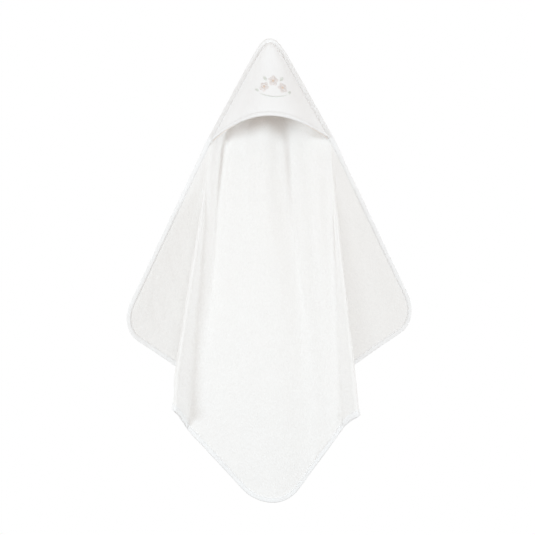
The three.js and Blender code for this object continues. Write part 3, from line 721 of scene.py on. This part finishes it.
class Look:
    """A procedural material, with short helpers for its nodes. Its textures work in millimetres of cloth."""

    def __init__(self, name, roughness, sheen, sheen_roughness=0.5):
        self.material = bpy.data.materials.new(name)
        self.material.use_nodes = True
        self.tree = self.material.node_tree
        self.shader = self.tree.nodes["Principled BSDF"]
        set_inputs(self.shader, Roughness=roughness, Specular_IOR_Level=SPECULAR)
        set_inputs(self.shader, Sheen_Weight=sheen, Sheen_Roughness=sheen_roughness)
        self.uv = self.node("ShaderNodeUVMap", uv_map="flat").outputs["UV"]
        self.normal = None

    def node(self, kind, **settings):
        made = self.tree.nodes.new(kind)
        for key, value in settings.items():
            setattr(made, key, value)
        return made

    def link(self, source, target):
        self.tree.links.new(source, target)

    def cloth_grid(self, turn=0.0, stretch=(1.0, 1.0)):
        """Flat coordinates in millimetres, turned by an angle in degrees and stretched."""
        mapping = self.node("ShaderNodeMapping")
        scale = 1 / MM
        sizes = (scale * stretch[0], scale * stretch[1], scale)
        set_inputs(mapping, Rotation=(0, 0, math.radians(turn)), Scale=sizes)
        self.link(self.uv, mapping.inputs["Vector"])
        return mapping.outputs["Vector"]

    def clouds(self, size, detail=3.0, grid=None):
        texture = self.node("ShaderNodeTexNoise")
        set_inputs(texture, Scale=1 / size, Detail=detail)
        self.link(grid or self.cloth_grid(), texture.inputs["Vector"])
        return texture.outputs["Fac"]

    def loops(self, size, grid):
        texture = self.node("ShaderNodeTexVoronoi")
        set_inputs(texture, Scale=1 / size, Randomness=0.75)
        self.link(grid, texture.inputs["Vector"])
        return self.math("SUBTRACT", 1.0, texture.outputs["Distance"])

    def ribs(self, pitch, grid, direction="X", distortion=0.0):
        texture = self.node("ShaderNodeTexWave", bands_direction=direction)
        set_inputs(texture, Scale=WAVE_REPEAT / pitch, Distortion=distortion, Detail_Scale=2.0)
        self.link(grid, texture.inputs["Vector"])
        return texture.outputs["Fac"]

    def weave(self, pitch, grid, distortion):
        """Warp and weft threads that cross."""
        warp, weft = (self.ribs(pitch, grid, direction, distortion) for direction in "XY")
        return self.math("MULTIPLY", warp, weft)

    def math(self, operation, a, b):
        made = self.node("ShaderNodeMath", operation=operation)
        for socket, value in zip(made.inputs, (a, b)):
            if isinstance(value, (int, float)):
                socket.default_value = value
            else:
                self.link(value, socket)
        return made.outputs[0]

    def ramp(self, factor, low, high, start=0.0, end=1.0):
        made = self.node("ShaderNodeValToRGB")
        made.color_ramp.elements[0].position = start
        made.color_ramp.elements[1].position = end
        made.color_ramp.elements[0].color = (*low, 1)
        made.color_ramp.elements[1].color = (*high, 1)
        self.link(factor, made.inputs["Fac"])
        return made.outputs["Color"]

    def color(self, factor, low, high, start=0.3, end=0.7):
        self.link(self.ramp(factor, low, high, start, end), self.shader.inputs["Base Color"])

    def roughness(self, factor, low, high):
        spread = self.math("ADD", self.math("MULTIPLY", factor, high - low), low)
        self.link(spread, self.shader.inputs["Roughness"])

    def bump(self, height, depth, strength=1.0):
        """Adds a relief of a depth in millimetres on top of the ones before it."""
        made = self.node("ShaderNodeBump")
        set_inputs(made, Distance=depth * MM, Strength=strength)
        self.link(height, made.inputs["Height"])
        if self.normal:
            self.link(self.normal, made.inputs["Normal"])
        self.normal = made.outputs["Normal"]
        self.link(self.normal, self.shader.inputs["Normal"])


WEAVE_TURN = 45  # the towel's threads run along its sides, and its flat coordinates along its diagonals


def terry_look(name, loop, low, high):
    """Looped pile: round loops of a size in millimetres, in clumps."""
    look = Look(name, 0.95, 0.35, 0.6)
    weave = look.cloth_grid(WEAVE_TURN)
    loops = look.loops(loop, weave)
    clumps = look.clouds(6.0, 3.0, weave)
    soft = look.clouds(38.0, 2.0)
    shade = look.math("ADD", look.math("MULTIPLY", loops, 0.35), look.math("MULTIPLY", clumps, 0.65))
    look.color(shade, low, high, 0.3, 0.75)
    look.roughness(clumps, 0.86, 1.0)
    look.bump(soft, 1.6, 0.5)
    look.bump(clumps, 1.1, 0.6)
    look.bump(loops, 0.7, 0.7)
    return look.material


def percale_look():
    """Smooth plain-woven cotton: fine warp and weft, with a slub here and there."""
    look = Look("hood_percale", 0.72, 0.18, 0.4)
    threads = look.weave(0.42, look.cloth_grid(WEAVE_TURN), 0.6)
    slubs = look.clouds(3.0, 4.0, look.cloth_grid(WEAVE_TURN, (0.2, 1.6)))
    soft = look.clouds(26.0, 2.0)
    shade = look.math("ADD", look.math("MULTIPLY", slubs, 0.6), look.math("MULTIPLY", soft, 0.4))
    look.color(shade, (0.892, 0.884, 0.876), (0.915, 0.907, 0.899))
    look.roughness(slubs, 0.64, 0.8)
    look.bump(soft, 1.2, 0.35)
    look.bump(slubs, 0.12, 0.5)
    look.bump(threads, 0.1, 0.6)
    return look.material


def tape_look():
    """Bias tape: a plain weave at 45 degrees to its length, puckered a little by its seam."""
    look = Look("tape_cloth", 0.6, 0.15, 0.35)
    threads = look.weave(0.55, look.cloth_grid(WEAVE_TURN), 0.5)
    pucker = look.clouds(2.4, 2.0, look.cloth_grid(0, (1.0, 0.3)))
    shade = look.clouds(11.0, 3.0)
    look.color(shade, (0.87, 0.861, 0.851), (0.895, 0.886, 0.876))
    look.roughness(shade, 0.52, 0.68)
    look.bump(pucker, 0.35, 0.4)
    look.bump(threads, 0.14, 0.6)
    return look.material


def thread_look(name, low, high, pitch=0.55, roughness=0.45):
    look = Look(name, roughness, 0.2, 0.3)
    twist = look.ribs(pitch, look.cloth_grid(35), "X", 0.4)
    tone = look.clouds(1.3, 2.0)
    look.color(tone, low, high)
    look.roughness(tone, roughness - 0.08, roughness + 0.1)
    look.bump(twist, 0.14, 0.7)
    return look.material


def satin_look(name, low, high):
    """Close parallel embroidery stitches: fine ribs across the shape, with a silky gloss."""
    look = Look(name, 0.42, 0.25, 0.3)
    ribs = look.ribs(0.45, look.cloth_grid(), "X", 0.8)
    tone = look.clouds(2.2, 2.0, look.cloth_grid(0, (2.2, 0.4)))
    look.color(tone, low, high)
    look.roughness(tone, 0.34, 0.5)
    look.bump(ribs, 0.22, 0.8)
    return look.material


def stabiliser_look():
    look = Look("stabiliser_cloth", 0.9, 0.1)
    fibres = look.clouds(0.9, 5.0)
    look.color(fibres, (0.76, 0.76, 0.755), (0.82, 0.82, 0.815))
    look.roughness(fibres, 0.82, 0.96)
    look.bump(fibres, 0.12, 0.7)
    return look.material


def floor_look():
    look = Look("floor_paper", 0.9, 0.0)
    look.tree.nodes.remove(look.uv.node)
    set_inputs(look.shader, Base_Color=(FLOOR_GREY, FLOOR_GREY, FLOOR_GREY, 1))
    return look.material


# ---- The towel
RELAX_ROUNDS = 6
TERRY_PILE = 0.35
SEAM_KEPT = 20.0
PUCKERS_START = 90.0
PUCKERS_REACH = 42.0
PUCKER_SIZE = 24.0
PUCKER_HEIGHT = 0.7
FOOT_PUCKER = {"height": 1.5, "at": 560.0, "width": 130.0, "right_share": 0.35}
RIPPLES = [
    {"height": 2.2, "across": 60, "along": 210, "seed": 5.0},
    {"height": 0.9, "across": 26, "along": 70, "seed": 8.0},
]
RIPPLES_START = {"inside": (8, 60), "down": (60, 330)}


def ripples(u, v):
    """Small waves that the cloth has of its own, and the puckers that the sewn tape gives the hem."""
    a, b = (u + v) / math.sqrt(2), (u - v) / math.sqrt(2)
    inside = inside_by(u, v) - TAPE_WIDTH
    free = smooth(INNER_U + SEAM_KEPT, INNER_U + SEAM_KEPT + PUCKERS_START, u)
    hem = 1 - smooth(0, PUCKERS_REACH, inside)
    foot = bump(a, FOOT_PUCKER["at"], FOOT_PUCKER["width"]) * (1 if v < 0 else FOOT_PUCKER["right_share"])
    height = PUCKER_HEIGHT + FOOT_PUCKER["height"] * foot
    pucker = hem * height * wobble(a / PUCKER_SIZE, b / PUCKER_SIZE, 2.0)
    own = sum(r["height"] * wobble(v / r["across"], u / r["along"], r["seed"]) for r in RIPPLES)
    shown = smooth(*RIPPLES_START["inside"], inside) * smooth(*RIPPLES_START["down"], u)
    return free * pucker + shown * own


def add_towel(looks):
    surface = Surface(towel_grid())
    surface.relax(RELAX_ROUNDS)
    heights = np.array([ripples(u, v) for u, v in surface.flat])
    surface.points += surface.normals * heights[:, None]
    surface.find_normals()
    stations = hem_stations(surface)
    front = [OVER_TAPE + seam_lift(s) for s in stations]
    cloth = surface.extended(stations, PANEL_REACH)
    body = slab("towel_body", cloth, -TERRY / 2, TERRY / 2, looks["terry"], "towel", TERRY_PILE)
    profiles = [tape_profile(TAPE_WIDTH, -OVER_TAPE, -SLOT, SLOT, top) for top in front]
    tape = sweep("hem_tape", stations, profiles, True, looks["tape"], "towel")
    rows = []
    for side_name, heights, side in (("front", front, 1), ("back", [-OVER_TAPE] * len(front), -1)):
        name = f"hem_stitches_{side_name}"
        rows.append(stitches(name, stations, heights, STITCH_INSET, True, side, looks["thread"], "towel"))
    return body, tape, rows


# ---- The hood
HOOD_COLUMNS = 120
HOOD_ROWS = 92
HOOD_BOTTOM = HOOD_DEPTH - TAPE - GAP  # the hood's cloth ends just inside the fold of its tape
HOOD_TOP_DROP = 0.01  # starting this much below its tip, the hood's top row has a little width


def hood_surface(bottom):
    top = top_of(0, HOOD_INSET) + HOOD_TOP_DROP
    columns = []
    for i in range(HOOD_COLUMNS + 1):
        across = -1 + 2 * i / HOOD_COLUMNS
        column = []
        for j in range(HOOD_ROWS + 1):
            u = mix(top, bottom, j / HOOD_ROWS)
            column.append((u, across * hood_half(u), hood(u, across)))
        columns.append(column)
    return Surface(columns)


def face_stations(surface):
    stations = []
    for column in surface.index:
        p, n = surface.points[column[-1]], surface.normals[column[-1]]
        out = p - surface.points[column[-2]]
        stations.append(Station(p, n, unit(out - n * out.dot(n))))
    return stations


def add_hood(looks):
    surface = hood_surface(HOOD_DEPTH - FACE_TAPE_WIDTH)
    cloth = hood_surface(HOOD_BOTTOM)
    stations = face_stations(surface)
    lining_front, lining_back = LINING / 2 - LINING_STEP, -LINING / 2 - LINING_STEP
    face = HOOD_CLOTH / 2 + GAP + TAPE
    front = slab("hood_front", cloth, -HOOD_CLOTH / 2, HOOD_CLOTH / 2, looks["percale"], "hood")
    lining = slab("hood_terry_lining", cloth, lining_back, lining_front, looks["lining"], "hood")
    slot_back = lining_back - GAP
    profile = tape_profile(FACE_TAPE_WIDTH, slot_back - TAPE, slot_back, HOOD_CLOTH / 2 + GAP, face)
    tape = sweep("face_edge_tape", stations, [profile] * len(stations), False, looks["tape"], "hood")
    heights = [face] * len(stations)
    row = stitches("face_edge_stitches", stations, heights, STITCH_INSET, False, 1, looks["thread"], "hood")
    return front, lining, tape, row


# ---- The embroidery
EMBROIDERY_SUNK = 0.05
EMBROIDERY_BASE = HOOD_CLOTH / 2 - EMBROIDERY_SUNK
EDGE_HEIGHT = 0.12
FLOSS_SLANT = (0.98, 0.2)
PETALS = 5
PETAL_HEIGHT = 0.75
LEAF_HEIGHT = 0.55
VEIN_HALF = 0.12
KNOT_LIFT = 0.5
KNOT_FLATTENED = 0.55
KNOT_WOUND = 0.08
KNOTS_AROUND = 6
KNOT_RING = 0.16  # a blossom's knots, in shares of its radius
KNOT_R = 0.085
BLOSSOMS = [
    {"name": "left", "at": (-19, -4), "radius": 11.5, "spin": 0.3},
    {"name": "middle", "at": (3, 9), "radius": 12.5, "spin": 0.9},
    {"name": "right", "at": (26, -3), "radius": 12.0, "spin": 0.1},
]
LEAVES = [
    {"name": "upper_left", "at": (-17, 15), "length": 13, "lean": 2.2},
    {"name": "upper_right", "at": (24, 17), "length": 13, "lean": 0.9},
    {"name": "lower_left", "at": (-37, -8), "length": 12, "lean": 2.4},
    {"name": "lower_right", "at": (44, -9), "length": 12, "lean": 0.8},
]
STEM = {"start": (-30, -17), "end": (37, -17), "sag": 10, "radius": 0.8}
STEM_FLATTENED = 0.8
PLY_DEPTH = 0.16
PLY_TWIST = 2.4  # in radians a millimetre
BACKING_HALF = (52, 36)  # half width and half height of the oval backing
BACKING = 0.4
BACKING_AIR = 0.7


def on_hood(right, up, height):
    """A point at a height over the hood's front, from a flat place measured from the motif's middle."""
    d = 0.5
    p = raised(hood_point(right, up))
    across = raised(hood_point(right + d, up)) - p
    upward = raised(hood_point(right, up + d)) - p
    return p - unit(np.cross(upward, across)) * height


def padded_shape(place, rings, steps, height):
    """Points, faces and flat coordinates of a padded embroidered shape, thick in the middle.
    place(s, t) gives a flat place for s along the shape (0 to 1) and t across it (-1 to 1)."""
    points, uvs, faces = [], [], []
    for layer in (1, 0):
        for i in range(rings + 1):
            s = i / rings
            for j in range(steps + 1):
                t = -1 + 2 * j / steps
                x, z = place(s, t)
                crown = swell(s, 0.03, 0.97, 0.5) * math.sqrt(max(0.0, 1 - t * t))
                points.append(on_hood(x, z, EMBROIDERY_BASE + layer * (EDGE_HEIGHT + height * crown)))
                uvs.append((x * FLOSS_SLANT[0] + z * FLOSS_SLANT[1], z))
    row = steps + 1
    size = (rings + 1) * row
    for i in range(rings):
        for j in range(steps):
            a = i * row + j
            quad = [a, a + 1, a + row + 1, a + row]
            faces += [quad, [size + corner for corner in reversed(quad)]]
    edge = list(range(steps)) + [i * row + steps for i in range(rings)]
    edge += [rings * row + j for j in range(steps, 0, -1)] + [i * row for i in range(rings, 0, -1)]
    faces += [[a, a + size, b + size, b] for a, b in zip(edge, edge[1:] + edge[:1])]
    return points, faces, uvs


def join_shapes(shapes):
    points, faces, uvs = [], [], []
    for p, f, uv in shapes:
        faces += [[i + len(points) for i in face] for face in f]
        points += p
        uvs += uv
    return points, faces, uvs


def turned(centre, x, z, angle):
    """A flat place beside a centre, turned about it by an angle."""
    c, k = math.cos(angle), math.sin(angle)
    return centre[0] + x * c - z * k, centre[1] + x * k + z * c


def petal(centre, radius, angle):
    """One petal, from the blossom's middle outwards, with a broad rounded tip."""

    def place(s, t):
        notch = 0.05 * (1 - abs(t)) * s ** 6
        half = 0.4 * swell(s ** 0.9, 0.08, 0.94, 0.7)
        return turned(centre, radius * (mix(0.14, 1, s) - notch), radius * half * t, angle)

    return padded_shape(place, 14, 12, PETAL_HEIGHT)


def leaf_half(at, length, lean, side):
    """Half a leaf, on one side of its vein."""

    def place(s, t):
        width = length * 0.24 * swell(s, 0.02, 0.98, 0.8)
        return turned(at, length * (s - 0.5), side * (width * (t + 1) / 2 + VEIN_HALF), lean)

    return padded_shape(place, 12, 8, LEAF_HEIGHT)


def knot(at, radius):
    """A French knot: a small ball of thread wound round itself."""
    points, uvs = [], []
    rows, steps = 8, 14
    for i in range(rows + 1):
        rise = math.pi * i / rows
        for j in range(steps):
            turn = 2 * math.pi * j / steps
            wound = 1 + KNOT_WOUND * math.sin(3 * turn + 4 * rise)
            r = radius * math.sin(rise) * wound
            height = EMBROIDERY_BASE + KNOT_LIFT + radius * (1 - math.cos(rise)) * KNOT_FLATTENED
            points.append(on_hood(at[0] + r * math.cos(turn), at[1] + r * math.sin(turn), height))
            uvs.append((turn * radius, rise * radius))
    return points, tube_faces(rows + 1, steps, ends=False), uvs


def stem_shape(start, end, sag, radius):
    """A corded stem: two plies twisted together along a line that sags between its ends."""
    points, uvs = [], []
    rings, steps = 90, 10
    run = math.hypot(end[0] - start[0], end[1] - start[1])
    for i in range(rings + 1):
        t = i / rings
        x, z = mix(start[0], end[0], t), mix(start[1], end[1], t) - sag * 4 * t * (1 - t)
        slope = math.atan2(end[1] - start[1] - sag * 4 * (1 - 2 * t), end[0] - start[0])
        girth = radius * min(1, 6 * min(t, 1 - t) + 0.25)
        for j in range(steps):
            turn = 2 * math.pi * j / steps
            ply = 1 + PLY_DEPTH * math.cos(2 * turn - t * run * PLY_TWIST)
            side = girth * ply * math.cos(turn)
            height = EMBROIDERY_BASE + girth * STEM_FLATTENED * (1 + ply * math.sin(turn))
            points.append(on_hood(x - side * math.sin(slope), z + side * math.cos(slope), height))
            uvs.append((t * run, turn * radius))
    return points, tube_faces(rings + 1, steps), uvs


def stabiliser_surface(a, b):
    """An oval of half width a and half height b, behind the motif."""
    columns = []
    steps, rings = 48, 10
    for i in range(steps + 1):
        angle = 2 * math.pi * (i % steps) / steps
        column = []
        for j in range(rings + 1):
            x, z = a * math.cos(angle) * j / rings, b * math.sin(angle) * j / rings
            column.append((MOTIF_U - z, MOTIF_V + x, hood_point(x, z)))
        columns.append(column)
    return Surface(columns)


def add_embroidery(looks):
    behind = -HOOD_CLOTH / 2 - BACKING_AIR
    oval = stabiliser_surface(*BACKING_HALF)
    backing = slab("stabiliser", oval, behind - BACKING, behind, looks["stabiliser"], "hood")
    pieces = {"embroidery_backing": backing}
    pieces["embroidery_stem"] = new_object("flower_stem", *stem_shape(**STEM), looks["leaf"], "hood")
    for flower in BLOSSOMS:
        name, at, radius = flower["name"], flower["at"], flower["radius"]
        angles = [flower["spin"] + (k + 0.5) * 2 * math.pi / PETALS for k in range(PETALS)]
        petals = join_shapes([petal(at, radius, angle) for angle in angles])
        pieces[f"embroidery_blossom_{name}"] = new_object(f"flower_{name}", *petals, looks["petal"], "hood")
        spots = [at] + [turned(at, radius * KNOT_RING, 0, radians) for radians in range(KNOTS_AROUND)]
        knots = join_shapes([knot(spot, radius * KNOT_R) for spot in spots])
        centre = new_object(f"flower_{name}_knots", *knots, looks["knot"], "hood")
        pieces[f"embroidery_centre_{name}"] = centre
    for leaf in LEAVES:
        halves = [leaf_half(leaf["at"], leaf["length"], leaf["lean"], side) for side in (1, -1)]
        piece = new_object(f"flower_leaf_{leaf['name']}", *join_shapes(halves), looks["leaf"], "hood")
        pieces[f"embroidery_leaf_{leaf['name']}"] = piece
    return pieces


# ---- Floor, light and camera
AMBIENT = 0.56
AMBIENT_COLOR = (1.0, 0.88, 0.79)
LIGHTS = [
    {"name": "key", "place": (-1.4, -3.2, 0.1), "size": 1.1, "power": 14.5},
    {"name": "front", "place": (0.1, -1.9, -0.7), "size": 0.9, "power": 4.2},
    {"name": "right", "place": (2.95, -1.8, -0.2), "size": 1.2, "power": 55},
    {"name": "left", "place": (-2.95, -1.7, -0.15), "size": 1.2, "power": 53},
    {"name": "back_right", "place": (2.3, 2.6, 0.1), "size": 1.2, "power": 46},
    {"name": "back_left", "place": (-2.3, 2.6, 0.1), "size": 1.2, "power": 46},
]
LIGHT_COLOR = (0.78, 0.907, 1.0)
AIM = (0, 0, -0.45)
FLOOR_R = 0.85
FLOOR_BELOW = 0.35
FLOOR_SIDES = 96
FLOOR_GREY = 0.55
CAMERA_PLACE = (-0.005, -4.0, -0.488)
CAMERA_LENS = 126.2
SENSOR_WIDTH = 36
VIEW_DEPTH = 50


def add_floor(look):
    mesh = bpy.data.meshes.new("floor")
    height = CAD_BOX[0][2] - FLOOR_BELOW
    angles = [2 * math.pi * i / FLOOR_SIDES for i in range(FLOOR_SIDES)]
    ring = [(FLOOR_R * math.cos(angle), FLOOR_R * math.sin(angle), height) for angle in angles]
    mesh.from_pydata(ring, [], [list(range(FLOOR_SIDES))])
    mesh.materials.append(look)
    add_to_scene("floor", mesh)


def add_light(name, place, size, power):
    lamp = bpy.data.lights.new(name, "AREA")
    lamp.shape = "DISK"
    lamp.size = size
    lamp.energy = power
    lamp.color = LIGHT_COLOR
    light = add_to_scene(name, lamp)
    light.location = place
    light.rotation_euler = (Vector(AIM) - Vector(place)).to_track_quat("-Z", "Y").to_euler()


def add_studio():
    """Soft lights in a world that shows plain white and casts a weaker, warm light."""
    scene = bpy.context.scene
    scene.view_settings.view_transform = "Standard"
    world = bpy.data.worlds.new("white_studio")
    world.use_nodes = True
    tree = world.node_tree
    around = tree.nodes["Background"]
    set_inputs(around, Color=(*AMBIENT_COLOR, 1), Strength=AMBIENT)
    white = tree.nodes.new("ShaderNodeBackground")
    set_inputs(white, Color=(1, 1, 1, 1), Strength=1.0)
    choice = tree.nodes.new("ShaderNodeMixShader")
    tree.links.new(tree.nodes.new("ShaderNodeLightPath").outputs["Is Camera Ray"], choice.inputs["Fac"])
    tree.links.new(around.outputs["Background"], choice.inputs[1])
    tree.links.new(white.outputs["Background"], choice.inputs[2])
    tree.links.new(choice.outputs["Shader"], tree.nodes["World Output"].inputs["Surface"])
    scene.world = world
    for light in LIGHTS:
        add_light(**light)


def add_camera():
    camera = bpy.data.cameras.new("camera")
    camera.lens = CAMERA_LENS
    camera.sensor_width = SENSOR_WIDTH
    camera.clip_end = VIEW_DEPTH
    view = add_to_scene("camera", camera)
    view.location = CAMERA_PLACE
    view.rotation_euler = (math.pi / 2, 0, 0)
    bpy.context.scene.camera = view


# ---- Assembly
def all_looks():
    return {
        "terry": terry_look("towel_terry", 1.7, (0.865, 0.845, 0.822), (0.9, 0.882, 0.86)),
        "lining": terry_look("lining_loops", 1.5, (0.87, 0.8, 0.74), (0.9, 0.835, 0.78)),
        "percale": percale_look(),
        "tape": tape_look(),
        "thread": thread_look("sewing_thread", (0.88, 0.871, 0.861), (0.9, 0.891, 0.881), roughness=0.65),
        "petal": satin_look("petal_floss", (0.89, 0.825, 0.795), (0.92, 0.87, 0.845)),
        "knot": thread_look("knot_floss", (0.86, 0.7, 0.58), (0.9, 0.76, 0.66), 0.3),
        "leaf": satin_look("leaf_floss", (0.8, 0.825, 0.765), (0.85, 0.865, 0.815)),
        "stabiliser": stabiliser_look(),
    }


def main():
    looks = all_looks()
    body, tape, hem_rows = add_towel(looks)
    front, lining, face_tape, face_row = add_hood(looks)
    stands_for = {
        "body_panel": body, "hem_binding": tape, "hem_stitching_front": hem_rows[0],
        "hem_stitching_back": hem_rows[1], "hood_panel": front, "hood_lining": lining,
        "hood_edge_binding": face_tape, "hood_edge_stitching": face_row, **add_embroidery(looks),
    }
    for node, piece in stands_for.items():
        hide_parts(node)
    hood_size = (2 * hood_half(HOOD_BOTTOM) * MM, (HOOD_BOTTOM - PEAK_CUT) * MM)
    hood_area = hood_surface(HOOD_BOTTOM).flat_area()
    add_floor(floor_look())
    add_studio()
    add_camera()


main()
